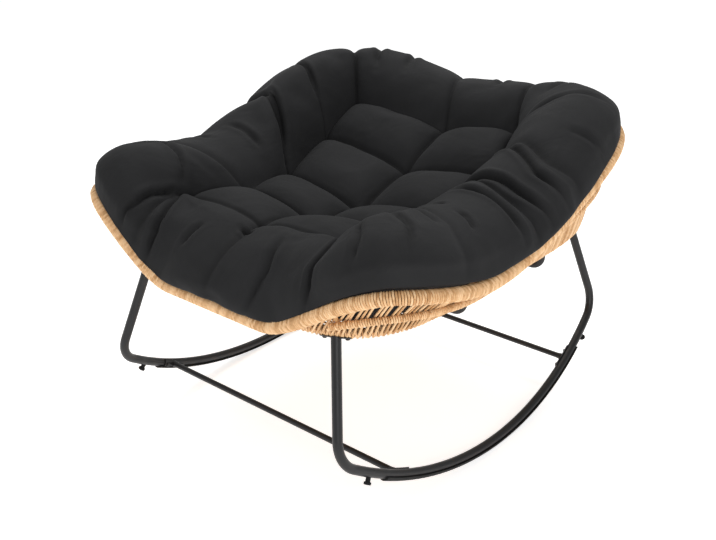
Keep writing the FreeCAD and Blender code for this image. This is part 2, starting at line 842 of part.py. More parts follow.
def rocker_base():
    """Every piece of the rocker base, by node name."""
    pieces = {}
    pieces.update(named_sides("side_frame", side_frame()))
    pieces.update(named_sides("rocker_strip", rocker_strip()))
    stretcher_bolts, stretcher_inserts, leg_bolts = [], [], []
    for sign in (-1, 1):
        u = sign * stretcher_reach
        pieces["front_stretcher" if sign < 0 else "rear_stretcher"] = stretcher(u)
        corners = {
            "stretcher_saddle": stretcher_saddle(u),
            "stop_peg": stop_peg(sign * stop_peg_reach),
            "leg_saddle": leg_saddle(sign),
        }
        for name, right in corners.items():
            pieces[corner_name(name, sign, "right")] = right
            pieces[corner_name(name, sign, "left")] = mirrored(right)
        for place in stretcher_bolt_places(u):
            stretcher_bolts.append(bolt(place + inwards * saddle_radius, frame_normal, bolt_grip))
            mouth = place + inwards * insert_depth(side_tube_radius)
            stretcher_inserts.append(threaded_insert(mouth, frame_normal))
        for place in leg_bolt_places(sign):
            grip = leg_saddle_radius - base_ring_tube_radius + insert_length
            leg_bolts.append(bolt(place - UP * leg_saddle_radius, UP, grip))
    for name, group in (
        ("stretcher_bolts", stretcher_bolts),
        ("stretcher_inserts", stretcher_inserts),
        ("leg_bolts", leg_bolts),
    ):
        pieces[name] = Part.makeCompound(group + [mirrored(piece) for piece in group])
    return pieces


def basket():
    """Every piece of the basket, by node name."""
    right_turns = [front_rib_angle] + list(rib_angles) + [back_rib_angle]
    turns = right_turns + [-turn for turn in right_turns]
    bars = {"front_support_bar": support_bar(-1), "rear_support_bar": support_bar(1)}
    mouths = []
    for sign in (-1, 1):
        for place in leg_bolt_places(sign):
            mouth = place - UP * insert_depth(base_ring_tube_radius)
            mouths.append(mouth)
            mouths.append(Vector(-mouth.x, mouth.y, mouth.z))

    rim_core = rim_bar(rim_tube_radius + fit_gap)
    ring_core = base_ring_bar(base_ring_tube_radius + fit_gap)
    rods = [rib(turn, rib_radius).cut([rim_core, ring_core]) for turn in turns]
    ways = [rib(turn, rib_radius + fit_gap) for turn in turns]

    pieces = {}
    pieces["rim_tube"] = rim_bar(rim_tube_radius).cut(rim_bar(rim_tube_radius - rim_tube_wall))
    rim_outer = rim_bar(rim_wrap_radius)
    pieces["rim_wrap"] = rim_outer.cut(rim_core).cut(ways)

    ring_tube = base_ring_bar(base_ring_tube_radius)
    ring_tube = ring_tube.cut(base_ring_bar(base_ring_tube_radius - base_ring_tube_wall))
    pieces["base_ring_tube"] = ring_tube.cut([insert_hole(mouth, UP) for mouth in mouths])
    pieces["leg_bolt_inserts"] = Part.makeCompound([threaded_insert(mouth, UP) for mouth in mouths])
    ring_outer = base_ring_bar(base_ring_wrap_radius)
    ring_wrap = ring_outer.cut(ring_core).cut(ways)
    ring_wrap = ring_wrap.cut([bolt_hole(mouth, UP) for mouth in mouths])
    pieces["base_ring_wrap"] = ring_wrap.cut(list(bars.values()))

    pieces["mid_bar"] = mid_bar(mid_bar_radius)
    mid_outer = mid_bar(mid_bar_wrap_radius)
    pieces["mid_bar_wrap"] = mid_outer.cut(mid_bar(mid_bar_radius + fit_gap)).cut(ways)
    pieces["basket_ribs"] = Part.makeCompound([largest_solid(rod) for rod in rods])
    for name, shape in bars.items():
        pieces[name] = shape.cut(ring_core)

    def trimmed_wall(first, last):
        wall = woven_wall(first, last).cut([rim_outer, ring_outer]).cut(ways)
        return largest_solid(wall)

    front_middle = trimmed_wall(-front_rib_angle, front_rib_angle)
    back_middle = trimmed_wall(back_rib_angle, 360.0 - back_rib_angle)
    right = [trimmed_wall(first, last) for first, last in zip(right_turns, right_turns[1:])]
    left = [mirrored(wall) for wall in right]
    pieces["front_weave"] = Part.makeCompound([front_middle, right[0], left[0]])
    pieces["right_side_weave"] = Part.makeCompound(right[1:3])
    pieces["left_side_weave"] = Part.makeCompound(left[1:3])
    pieces["back_weave"] = Part.makeCompound([back_middle] + right[3:] + left[3:])
    pieces["floor_weave"] = woven_floor()
    return pieces


def main():
    os.makedirs("parts", exist_ok=True)
    pieces = rocker_base()
    pieces.update(basket())
    pieces["seat_cushion"] = cushion()
    for name, shape in sorted(pieces.items()):
        print("{:28s} solids {:2d} valid {} volume {:10.0f}".format(
            name, len(shape.Solids), shape.isValid(), shape.Volume))
        shape.exportStep("parts/{}.step".format(name))
    print(len(pieces), "nodes")


if __name__ == "__main__":
    main()
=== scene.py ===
# %% [markdown]
# # A rattan rocking chair
# The chair is a black tube rocker base, a basket wound from tan strands, and one thick tufted cushion.
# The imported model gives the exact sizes. Here each soft or wound piece is made again as what it really is,
# in the same place, and every hard piece keeps its shape and gets a better surface.

import math

import bmesh
import bpy
import numpy as np
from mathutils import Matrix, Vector
from mathutils.kdtree import KDTree


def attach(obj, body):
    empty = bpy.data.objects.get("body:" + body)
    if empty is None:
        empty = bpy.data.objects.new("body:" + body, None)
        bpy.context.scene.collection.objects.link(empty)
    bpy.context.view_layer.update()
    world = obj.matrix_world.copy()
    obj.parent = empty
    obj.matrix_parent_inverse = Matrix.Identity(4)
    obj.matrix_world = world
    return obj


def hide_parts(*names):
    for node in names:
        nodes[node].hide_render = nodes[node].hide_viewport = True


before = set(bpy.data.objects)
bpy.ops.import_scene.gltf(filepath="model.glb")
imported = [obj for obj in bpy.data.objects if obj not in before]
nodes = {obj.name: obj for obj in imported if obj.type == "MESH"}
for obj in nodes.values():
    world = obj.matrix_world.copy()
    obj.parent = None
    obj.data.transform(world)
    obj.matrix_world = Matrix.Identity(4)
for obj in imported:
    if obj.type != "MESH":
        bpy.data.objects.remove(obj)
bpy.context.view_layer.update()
scene = bpy.context.scene

# %% [markdown]
# ## Where the photographer stood
# A chair seen from a little above and from its front corner shows its seat, one side and both rockers at once.
# A camera is easiest to repeat when it is written as a compass angle, a height angle and a distance from one
# point inside the object. The lens is given by the focal length and the picture's width, both in pixels.

# %% Camera
look_at = Vector((-0.0384, 0.0, 0.312))
compass = math.radians(40.2)
rise = math.radians(24.0)
away = 2.304
sensor_width = 36.0
focal_pixels, picture_pixels = 970, 716
camera_data = bpy.data.cameras.new("photo_camera")
camera_data.sensor_width = sensor_width
camera_data.lens = sensor_width * focal_pixels / picture_pixels
camera_data.clip_end = 100
camera = bpy.data.objects.new("photo_camera", camera_data)
scene.collection.objects.link(camera)
backwards = Vector((
    math.sin(compass) * math.cos(rise), -math.cos(compass) * math.cos(rise), math.sin(rise),
))
camera.location = look_at + backwards * away
camera.rotation_euler = (-backwards).to_track_quat("-Z", "Y").to_euler()
scene.camera = camera
print("camera at", tuple(round(c, 3) for c in camera.location))

# %% [markdown]
# ## Helpers for node trees
# Materials and patterns are small networks of nodes. One helper adds a node, sets its options, and either
# links or fills each input, so that a network reads from its first node to its last like a recipe. Another
# stands for plain arithmetic, and a third opens a new material.


# %% Node helpers
def set_inputs(tree, node, inputs):
    """Links an input that is given another node's output, and fills any other."""
    for name, value in inputs.items():
        if isinstance(value, bpy.types.NodeSocket):
            tree.links.new(value, node.inputs[name])
        else:
            node.inputs[name].default_value = value


def add_node(tree, kind, inputs=None, **options):
    node = tree.nodes.new(kind)
    for name, value in options.items():
        setattr(node, name, value)
    set_inputs(tree, node, inputs or {})
    return node


def reckon(tree, operation, *values, **options):
    """Result of a Math node on one or two values."""
    node = add_node(tree, "ShaderNodeMath", dict(enumerate(values)), operation=operation, **options)
    return node.outputs[0]


def new_material(name):
    material = bpy.data.materials.new(name)
    material.use_nodes = True
    tree = material.node_tree
    return material, tree, tree.nodes["Principled BSDF"]


print("node helpers ready")

# %% [markdown]
# ## A pale studio
# The chair stands on a plain white floor under one broad soft light, with two more from the front corners.
# Black cloth shows its form only by the light that slides over it, so the broad light comes from above and
# behind, and the other two fill the hollows. The floor glows a little itself, which keeps it white and its
# shadow faint, and the surroundings look brighter to the camera than the light that they give.

# %% Floor
floor_half = 14.0
floor_glow = 0.62
floor_corners = [(x * floor_half, y * floor_half, 0) for x, y in ((-1, -1), (1, -1), (1, 1), (-1, 1))]
floor_mesh = bpy.data.meshes.new("studio_floor")
floor_mesh.from_pydata(floor_corners, [], [(0, 1, 2, 3)])
floor = bpy.data.objects.new("studio_floor", floor_mesh)
scene.collection.objects.link(floor)
floor_paint, tree, shader = new_material("studio_floor")
set_inputs(tree, shader, {
    "Base Color": (0.93, 0.93, 0.93, 1), "Roughness": 0.9, "Specular IOR Level": 0.0,
    "Emission Color": (1, 1, 1, 1), "Emission Strength": floor_glow,
})
floor_mesh.materials.append(floor_paint)
print("floor:", 2 * floor_half, "m wide")


# %% Lights and surroundings
def soft_light(name, place, aim, size, power):
    data = bpy.data.lights.new(name, "AREA")
    data.shape = "DISK"
    data.size = size
    data.energy = power
    light = bpy.data.objects.new(name, data)
    light.location = place
    light.rotation_euler = (Vector(aim) - Vector(place)).to_track_quat("-Z", "Y").to_euler()
    scene.collection.objects.link(light)


soft_light("overhead", (-0.9, 1.1, 3.2), aim=(0, 0, 0.45), size=2.6, power=52)
soft_light("front_left", (-2.2, -2.8, 2.2), aim=(0, 0, 0.4), size=2.0, power=5)
soft_light("front_right", (2.6, -2.0, 1.7), aim=(0, 0, 0.45), size=2.0, power=35)
sky_light, sky_seen = 0.42, 1.0
world = bpy.data.worlds.new("studio")
scene.world = world
world.use_nodes = True
tree = world.node_tree
tree.nodes.clear()
camera_ray = add_node(tree, "ShaderNodeLightPath").outputs["Is Camera Ray"]
glow = reckon(tree, "ADD", reckon(tree, "MULTIPLY", camera_ray, sky_seen - sky_light), sky_light)
sky = add_node(tree, "ShaderNodeBackground", {"Color": (1, 1, 1, 1), "Strength": glow})
add_node(tree, "ShaderNodeOutputWorld", {"Surface": sky.outputs[0]})
scene.view_settings.view_transform = "Standard"
print("studio: white floor, three soft lights")

# %% [markdown]
# ## Shared surface effects
# Paint, rubber, steel and cane all need a patchy value and a fine bump. They could be built again in every
# material. Here each is a node group that hands out only a value or a normal, so that every material can use
# it at its own scale.


# %% Surface groups
def surface_group(name, inputs, result, result_kind):
    """An empty node group with a place, some named numbers and one result."""
    tree = bpy.data.node_groups.new(name, "ShaderNodeTree")
    tree.interface.new_socket(name="Vector", in_out="INPUT", socket_type="NodeSocketVector")
    for label, value in inputs.items():
        socket = tree.interface.new_socket(name=label, in_out="INPUT", socket_type="NodeSocketFloat")
        socket.default_value = value
    tree.interface.new_socket(name=result, in_out="OUTPUT", socket_type=result_kind)
    return tree, tree.nodes.new("NodeGroupInput"), tree.nodes.new("NodeGroupOutput")


patchy, entry, leave = surface_group(
    "patchy_value", {"Scale": 10, "Low": 0, "High": 1}, "Value", "NodeSocketFloat"
)
blotches = add_node(patchy, "ShaderNodeTexNoise", {
    "Vector": entry.outputs["Vector"], "Scale": entry.outputs["Scale"], "Detail": 4,
})
spread = add_node(patchy, "ShaderNodeMapRange", {
    "Value": blotches.outputs["Fac"], "From Min": 0.3, "From Max": 0.7,
    "To Min": entry.outputs["Low"], "To Max": entry.outputs["High"],
})
set_inputs(patchy, leave, {"Value": spread.outputs["Result"]})

grain, entry, leave = surface_group(
    "grain_normal", {"Scale": 900, "Depth": 0.0001}, "Normal", "NodeSocketVector"
)
specks = add_node(grain, "ShaderNodeTexNoise", {
    "Vector": entry.outputs["Vector"], "Scale": entry.outputs["Scale"],
})
bump = add_node(grain, "ShaderNodeBump", {
    "Height": specks.outputs["Fac"], "Distance": entry.outputs["Depth"],
})
set_inputs(grain, leave, {"Normal": bump.outputs["Normal"]})


def use_group(tree, group, vector, **inputs):
    node = add_node(tree, "ShaderNodeGroup", node_tree=group)
    set_inputs(tree, node, {"Vector": vector, **inputs})
    return node.outputs[0]


def tinted(tree, colour, tone):
    """A colour made lighter and darker by a tone that changes over the surface."""
    blend = add_node(
        tree, "ShaderNodeMix", {0: 1.0, 6: (*colour, 1), 7: tone}, data_type="RGBA", blend_type="MULTIPLY"
    )
    return blend.outputs[2]


print("groups:", patchy.name, grain.name)

# %% [markdown]
# ## Paint, bolts, rubber and steel
# The base is powder coated: a black skin with a faint orange-peel texture and a soft shine. The bolts are a
# little lighter and shinier, the strips and pegs are dull rubber, and the hidden inserts are plain steel. One
# function makes all four, because they differ only in numbers.


# %% Hard materials
def hard_material(name, colour, dull, shiny, grain_scale, grain_depth, metal=0.0, specular=0.5):
    material, tree, shader = new_material(name)
    place = add_node(tree, "ShaderNodeTexCoord").outputs["Object"]
    tone = use_group(tree, patchy, place, Scale=12, Low=0.8, High=1.2)
    set_inputs(tree, shader, {
        "Base Color": tinted(tree, colour, tone),
        "Roughness": use_group(tree, patchy, place, Scale=35, Low=shiny, High=dull),
        "Normal": use_group(tree, grain, place, Scale=grain_scale, Depth=grain_depth),
        "Metallic": metal,
        "Specular IOR Level": specular,
    })
    return material


powder_coat = hard_material(
    "powder_coat", (0.010, 0.010, 0.011),
    dull=0.46, shiny=0.34, grain_scale=700, grain_depth=0.00012, specular=0.42,
)
bolt_finish = hard_material(
    "bolt_finish", (0.014, 0.014, 0.014),
    dull=0.38, shiny=0.26, grain_scale=1200, grain_depth=0.00005, specular=0.5,
)
rubber = hard_material(
    "rubber", (0.009, 0.009, 0.009),
    dull=0.85, shiny=0.7, grain_scale=500, grain_depth=0.0002, specular=0.3,
)
insert_steel = hard_material(
    "insert_steel", (0.55, 0.55, 0.56),
    dull=0.4, shiny=0.25, grain_scale=1500, grain_depth=0.00003, metal=1.0,
)


def wear(node, material):
    node.data.materials.clear()
    node.data.materials.append(material)


for name, node in nodes.items():
    if name.endswith("bolts"):
        wear(node, bolt_finish)
    elif name.endswith(("rocker_strip", "stop_peg")):
        wear(node, rubber)
    elif name.endswith("inserts"):
        wear(node, insert_steel)
    else:
        wear(node, powder_coat)
print("hard materials on", len(nodes), "pieces")

# %% [markdown]
# ## The rattan strand
# The strand is a tan plastic cane. No two turns have quite the same tone, so every turn and every strand
# carries its own random number, and the material turns that number into a lighter or browner tan. A pattern in
# space could do it too, but it would run across neighbouring strands.

# %% Rattan material
rattan, tree, shader = new_material("rattan_strand")
place = add_node(tree, "ShaderNodeTexCoord").outputs["Object"]
strand_tone = add_node(tree, "ShaderNodeAttribute", attribute_name="tone").outputs["Fac"]
fleck = use_group(tree, patchy, place, Scale=160, Low=-0.22, High=0.22)
mixed = reckon(tree, "ADD", strand_tone, fleck, use_clamp=True)
tans = add_node(tree, "ShaderNodeValToRGB", {"Fac": mixed})
tans.color_ramp.elements[0].color = (0.58, 0.315, 0.132, 1)
tans.color_ramp.elements[1].color = (0.90, 0.61, 0.345, 1)
middle = tans.color_ramp.elements.new(0.45)
middle.color = (0.77, 0.475, 0.238, 1)
set_inputs(tree, shader, {
    "Base Color": tans.outputs["Color"],
    "Roughness": use_group(tree, patchy, place, Scale=90, Low=0.42, High=0.62),
    "Normal": use_group(tree, grain, place, Scale=1400, Depth=0.00012),
    "Specular IOR Level": 0.35,
})
wear(nodes["basket_ribs"], rattan)
print("rattan material ready")

# %% [markdown]
# ## The basket's curves
# The rim waves round the seat: low at the front, up over the front corners, down at the sides and up to two
# ears at the back. Seen from above it is a rounded square. The lower ring is a flat rounded square, and the
# wall is every straight line from ring to rim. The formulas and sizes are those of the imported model, so that
# the strands lie where its solids lie. All angles start at the front and turn towards the right side.


# %% Curve helpers
def eased(stations, turn):
    """Value at a turn in degrees, eased between (turn, value) stations."""
    at = np.array([s[0] for s in stations], float)
    value = np.array([s[1] for s in stations], float)
    turn = np.asarray(turn, float)
    index = np.clip(np.searchsorted(at, turn) - 1, 0, len(at) - 2)
    share = np.clip((turn - at[index]) / (at[index + 1] - at[index]), 0, 1)
    share = share * share * (3 - 2 * share)
    return value[index] + (value[index + 1] - value[index]) * share


def fold_turn(turn):
    """Angle from the front, the same on both sides."""
    return np.abs((np.asarray(turn, float) + 180) % 360 - 180)


def rounded_square(turn, half_width, reach, squareness):
    """Distance from the middle to a rounded square."""
    angle = np.radians(turn)
    across = np.abs(np.sin(angle)) / half_width
    along = np.abs(np.cos(angle)) / reach
    return (across**squareness + along**squareness) ** (-1 / squareness)


def round_axis(turn, out, height):
    """Points at a distance out from the upright middle line."""
    angle = np.radians(turn)
    out = np.broadcast_to(out, np.shape(angle))
    height = np.broadcast_to(height, np.shape(angle))
    return np.stack([out * np.sin(angle), -out * np.cos(angle), height], axis=-1)


def unit(vectors):
    return vectors / np.linalg.norm(vectors, axis=-1, keepdims=True)


def even_turns(curve, first, last, count, measured=4001):
    """Turns that divide a curve into equal lengths, measured in many small steps."""
    fine_turns = np.linspace(first, last, measured)
    steps = np.linalg.norm(np.diff(curve(fine_turns), axis=0), axis=1)
    length = np.concatenate([[0], np.cumsum(steps)])
    return np.interp(np.linspace(0, length[-1], count), length, fine_turns)


def round_turns(curve, count):
    """Turns of equal steps once round a closed curve."""
    return even_turns(curve, 0, 360, count + 1)[:-1]


print("curve helpers ready")

# %% Rim, ring and wall
rim_half_width, rim_reach = 0.475, 0.486
rim_square_front, rim_square_back = 6.0, 3.25
rim_heights = [(0, 0.414), (15, 0.414), (44, 0.540), (64, 0.510), (135, 0.655), (180, 0.612)]
ring_half_width, ring_reach, ring_square = 0.365, 0.450, 4.6
ring_height = 0.420


def rim_out(turn):
    squareness = np.where(fold_turn(turn) < 90, rim_square_front, rim_square_back)
    return rounded_square(turn, rim_half_width, rim_reach, squareness)


def rim_height(turn):
    return eased(rim_heights, fold_turn(turn))


def ring_out(turn):
    return rounded_square(turn, ring_half_width, ring_reach, ring_square)


def rim(turn):
    return round_axis(turn, rim_out(turn), rim_height(turn))


def ring(turn):
    return round_axis(turn, ring_out(turn), ring_height)


def wall_normal(turn, step=0.05):
    """Direction square to the wall, outwards."""
    turn = np.asarray(turn, float)
    middle_ahead = rim(turn + step) + ring(turn + step)
    middle_behind = rim(turn - step) + ring(turn - step)
    return unit(np.cross(middle_ahead - middle_behind, rim(turn) - ring(turn)))


rim_steps = np.diff(rim(np.linspace(0, 360, 2001)), axis=0)
print("rim is", round(float(np.linalg.norm(rim_steps, axis=1).sum()), 3), "m long")

# %% [markdown]
# ## Winding a strand round a bar
# A wound bar is one strand that circles it in close turns. A striped texture on a smooth bar would look flat at
# its edge, so the turns are real. The node tree takes the bar's centre line, spaces twelve points along each
# turn, pushes every point out from the line at its own angle, and sweeps a thin round section along the result.
# A seeded random number gives each turn a slightly different radius and tone.


# %% Parts of a strand tree
def new_strand_tree(name, sizes):
    """A geometry tree with its sizes, a seed and a material as named inputs."""
    tree = bpy.data.node_groups.new(name, "GeometryNodeTree")
    kinds = {size: "NodeSocketFloat" for size in sizes}
    kinds.update({"Seed": "NodeSocketInt", "Material": "NodeSocketMaterial"})
    tree.interface.new_socket(name="Geometry", in_out="INPUT", socket_type="NodeSocketGeometry")
    for label, kind in kinds.items():
        tree.interface.new_socket(name=label, in_out="INPUT", socket_type=kind)
    tree.interface.new_socket(name="Geometry", in_out="OUTPUT", socket_type="NodeSocketGeometry")
    return tree, tree.nodes.new("NodeGroupInput"), tree.nodes.new("NodeGroupOutput")


def seeded_chance(tree, owner, entry):
    """A random number from 0 to 1 for each owner."""
    seeds = {"ID": owner, "Seed": entry.outputs["Seed"]}
    return add_node(tree, "FunctionNodeRandomValue", seeds, data_type="FLOAT").outputs[1]


def finish_strands(tree, curve, chance, sides, entry, leave):
    """Stores each point's tone, sweeps a round section along the curves and ends the tree."""
    toned = add_node(
        tree, "GeometryNodeStoreNamedAttribute", {"Geometry": curve, "Name": "tone", "Value": chance},
        data_type="FLOAT", domain="POINT",
    )
    section = add_node(tree, "GeometryNodeCurvePrimitiveCircle", {
        "Resolution": sides, "Radius": entry.outputs["Strand Radius"],
    })
    swept = add_node(tree, "GeometryNodeCurveToMesh", {
        "Curve": toned.outputs["Geometry"], "Profile Curve": section.outputs["Curve"], "Fill Caps": True,
    })
    smooth = add_node(tree, "GeometryNodeSetShadeSmooth", {"Geometry": swept.outputs["Mesh"]})
    real = add_node(tree, "GeometryNodeRealizeInstances", {"Geometry": smooth.outputs["Geometry"]})
    coated = add_node(tree, "GeometryNodeSetMaterial", {
        "Geometry": real.outputs["Geometry"], "Material": entry.outputs["Material"],
    })
    set_inputs(tree, leave, {"Geometry": coated.outputs["Geometry"]})


print("strand tree parts ready")

# %% Winding tree
turn_points = 12
wound_sides = 6
winding, entry, leave = new_strand_tree(
    "wind_strand", ["Pitch", "Winding Radius", "Strand Radius", "Unevenness"]
)
line = add_node(winding, "GeometryNodeMeshToCurve", {"Mesh": entry.outputs["Geometry"]}).outputs["Curve"]
line_length = add_node(winding, "GeometryNodeCurveLength", {"Curve": line}).outputs[0]
turns = reckon(winding, "FLOOR", reckon(winding, "DIVIDE", line_length, entry.outputs["Pitch"]))
point_count = reckon(winding, "MULTIPLY", turns, float(turn_points))
spaced = add_node(winding, "GeometryNodeResampleCurve", {"Curve": line, "Count": point_count})
index = add_node(winding, "GeometryNodeInputIndex").outputs[0]
angle = reckon(winding, "MULTIPLY", index, math.tau / turn_points)
own_turn = reckon(winding, "FLOOR", reckon(winding, "DIVIDE", index, float(turn_points)))
chance = seeded_chance(winding, own_turn, entry)
jitter = reckon(winding, "MULTIPLY", reckon(winding, "SUBTRACT", chance, 0.5), entry.outputs["Unevenness"])
radius = reckon(winding, "ADD", jitter, entry.outputs["Winding Radius"])
normal = add_node(winding, "GeometryNodeInputNormal").outputs[0]
tangent = add_node(winding, "GeometryNodeInputTangent").outputs[0]
square = add_node(winding, "ShaderNodeVectorMath", {0: tangent, 1: normal}, operation="CROSS_PRODUCT")
moves = []
for wave, direction in (("COSINE", normal), ("SINE", square.outputs[0])):
    far = reckon(winding, "MULTIPLY", reckon(winding, wave, angle), radius)
    scaled = add_node(winding, "ShaderNodeVectorMath", {0: direction, "Scale": far}, operation="SCALE")
    moves.append(scaled.outputs[0])
move = add_node(winding, "ShaderNodeVectorMath", dict(enumerate(moves)), operation="ADD")
wound = add_node(winding, "GeometryNodeSetPosition", {
    "Geometry": spaced.outputs["Curve"], "Offset": move.outputs[0],
})
finish_strands(winding, wound.outputs["Geometry"], chance, wound_sides, entry, leave)
print("winding tree:", len(winding.nodes), "nodes")


# %% Growing a piece from its paths
def path_mesh(name, paths, closed):
    """Mesh of edges only, one chain for each path."""
    vertices, edges = [], []
    for points in paths:
        start = len(vertices)
        vertices += [tuple(p) for p in points]
        edges += [(start + i, start + i + 1) for i in range(len(points) - 1)]
        if closed:
            edges.append((start + len(points) - 1, start))
    mesh = bpy.data.meshes.new(name)
    mesh.from_pydata(vertices, edges, [])
    return mesh


def plain_mesh(piece):
    """The piece's mesh with its modifiers worked in."""
    graph = bpy.context.evaluated_depsgraph_get()
    result = bpy.data.meshes.new_from_object(
        piece.evaluated_get(graph), preserve_all_data_layers=True, depsgraph=graph
    )
    piece.modifiers.clear()
    piece.data = result
    result.name = piece.name
    return result


def grow(name, paths, tree, sizes, closed=False):
    """Runs a strand tree on paths and keeps the result as a plain mesh object."""
    piece = bpy.data.objects.new(name, path_mesh(name + "_line", paths, closed))
    scene.collection.objects.link(piece)
    modifier = piece.modifiers.new(tree.name, "NODES")
    modifier.node_group = tree
    values = {**sizes, "Material": rattan}
    for item in tree.interface.items_tree:
        if item.item_type == "SOCKET" and item.in_out == "INPUT" and item.name in values:
            modifier[item.identifier] = values[item.name]
    result = plain_mesh(piece)
    print(name, len(result.polygons), "faces")
    return piece


print("growing helpers ready")

# %% [markdown]
# ## Rim, lower ring and middle bar
# Three bars of the basket are wound: the thick rim that carries the cushion, the lower ring that carries the
# floor, and the thin bar halfway up the wall, which lies outside the strands and stops at the front corners.
# One tree winds all three, each with its own pitch, radius and seed.

# %% Wound bars
rim_points, ring_points, mid_points = 720, 540, 521
mid_bar_stand_off = 0.0096
mid_bar_ends = (31.4, 328.6)


def mid_bar(turn):
    return (rim(turn) + ring(turn)) / 2 + wall_normal(turn) * mid_bar_stand_off


rim_wound = grow("rim_winding", [rim(round_turns(rim, rim_points))], winding, {
    "Pitch": 0.0047, "Winding Radius": 0.0117, "Strand Radius": 0.0024, "Unevenness": 0.0007, "Seed": 3,
}, closed=True)
ring_wound = grow("lower_ring_winding", [ring(round_turns(ring, ring_points))], winding, {
    "Pitch": 0.0058, "Winding Radius": 0.0074, "Strand Radius": 0.0027, "Unevenness": 0.0016, "Seed": 5,
}, closed=True)
mid_wound = grow("mid_bar_winding", [mid_bar(even_turns(mid_bar, *mid_bar_ends, mid_points))], winding, {
    "Pitch": 0.0044, "Winding Radius": 0.0056, "Strand Radius": 0.0021, "Unevenness": 0.0006, "Seed": 7,
})
for piece, node in ((rim_wound, "rim_wrap"), (ring_wound, "base_ring_wrap"), (mid_wound, "mid_bar_wrap")):
    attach(piece, "chair")
    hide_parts(node)

# %% [markdown]
# ## Strands of the wall
# Between ring and rim the strands run side by side with dark gaps between them, each one leaning a little.
# They start round the lower ring and disappear into the rim's winding. Like the bars they are swept curves,
# because light has to pass between them. One tree sweeps them and the floor's; only the paths differ.

# %% Strand tree
straight_sides = 7
sweeping, entry, leave = new_strand_tree("sweep_strands", ["Strand Radius"])
line = add_node(sweeping, "GeometryNodeMeshToCurve", {"Mesh": entry.outputs["Geometry"]}).outputs["Curve"]
own_strand = add_node(sweeping, "GeometryNodeCurveOfPoint").outputs["Curve Index"]
chance = seeded_chance(sweeping, own_strand, entry)
finish_strands(sweeping, line, chance, straight_sides, entry, leave)
print("strand tree:", len(sweeping.nodes), "nodes")

# %% Wall strands
dice = np.random.default_rng(11)
strand_count = 300
lean_most, lean_spread = 5.0, 0.5
foot_hug = np.array([0.0088, 0.0060, 0.0015, 0, 0, 0, 0, 0, 0])[:, None]
foot_drop, foot_out = 0.0085, 0.002
waver = 0.0008
foot_turns = round_turns(ring, strand_count)
lean = lean_most * np.sin(np.radians(2 * foot_turns)) + dice.uniform(-lean_spread, lean_spread, strand_count)
head_turns = round_turns(rim, strand_count) + lean
wall_paths = []
for foot_turn, head_turn in zip(foot_turns, head_turns):
    foot, head = ring(foot_turn), rim(head_turn)
    outwards = wall_normal((foot_turn + head_turn) / 2)
    points = foot + (head - foot) * np.linspace(0, 1, len(foot_hug))[:, None]
    points = points + outwards * foot_hug + outwards * waver * dice.uniform(-1, 1)
    below = foot - np.array([0, 0, foot_drop]) + outwards * foot_out
    wall_paths.append(np.concatenate([[below], points]))
wall = grow("wall_strands", wall_paths, sweeping, {"Strand Radius": 0.0025, "Seed": 13})
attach(wall, "chair")
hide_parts("front_weave", "left_side_weave", "right_side_weave", "back_weave")

# %% [markdown]
# ## Strands of the floor
# The floor that carries the cushion is a shallow tray of strands from side to side, held up by two bars. Each
# strand starts at the lower ring, slopes down to the tray and runs level to the other side. It is seen only
# when the cushion is lifted out or from below.

# %% Floor strands
tray_height = 0.392
slope_run = 0.070
floor_reach, floor_pitch = 0.436, 0.0095
floor_waver = 0.0006
slope_steps = np.array([0.004, 0.012, 0.03, 0.05, 0.072])
floor_paths = []
for y in np.arange(-floor_reach, floor_reach, floor_pitch):
    half = ring_half_width * (1 - min(abs(y) / ring_reach, 1.0) ** ring_square) ** (1 / ring_square)
    y_line = y + floor_waver * dice.uniform(-1, 1)
    x = np.concatenate([half - slope_steps, [half * 0.5, 0]])
    depth_in = np.minimum(half - np.abs(x), ring_reach - abs(y))
    z = ring_height - (ring_height - tray_height) * np.clip(depth_in / slope_run, 0, 1)
    right = np.stack([x, np.full_like(x, y_line), z], axis=1)
    left = right[-2::-1] * np.array([-1, 1, 1])
    floor_paths.append(np.concatenate([right, left]))
floor_strands = grow("floor_strands", floor_paths, sweeping, {"Strand Radius": 0.0022, "Seed": 17})
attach(floor_strands, "chair")
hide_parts("floor_weave")

# %% [markdown]
# ## The cushion's cloth
# The cover is a plain black woven polyester. It is matt, with a little sheen where the light grazes it, fine
# threads that only show close up, and soft shallow wrinkles where the filling has settled. Deep in a crease
# hardly any light reaches it, so the mesh carries a crease value that darkens the cloth there. The threads
# follow the cloth's own map, because a pattern in space would cut through the rolls.

# %% Cloth material
cloth_black = (0.0190, 0.0191, 0.0200)
deepest_crease_shade = 0.3
thread_scale = 210.0
cloth, tree, shader = new_material("cushion_cloth")
coords = add_node(tree, "ShaderNodeTexCoord")
patches = use_group(tree, patchy, coords.outputs["Object"], Scale=9, Low=0.85, High=1.15)
# Painted shade: the crease value darkens the cloth in seams and folds, down to the given share at a full
# crease. The patches are the cloth's own uneven tone.
crease = add_node(tree, "ShaderNodeAttribute", attribute_name="crease").outputs["Fac"]
painted_crease_shade = add_node(tree, "ShaderNodeMapRange", {"Value": crease, "To Min": 1.0, "To Max": deepest_crease_shade})
cloth_tone_and_crease_shade = reckon(tree, "MULTIPLY", patches, painted_crease_shade.outputs["Result"])
threads = [
    add_node(
        tree, "ShaderNodeTexWave", {"Vector": coords.outputs["UV"], "Scale": thread_scale}, bands_direction=way
    ).outputs["Fac"]
    for way in ("X", "Y")
]
weave = add_node(tree, "ShaderNodeBump", {
    "Height": reckon(tree, "MAXIMUM", *threads), "Distance": 0.00008, "Strength": 0.5,
})
wrinkles = add_node(tree, "ShaderNodeTexNoise", {
    "Vector": coords.outputs["Object"], "Scale": 9.0, "Detail": 3.0, "Distortion": 0.6,
})
wrinkled = add_node(tree, "ShaderNodeBump", {
    "Height": wrinkles.outputs["Fac"], "Distance": 0.006, "Normal": weave.outputs["Normal"],
})
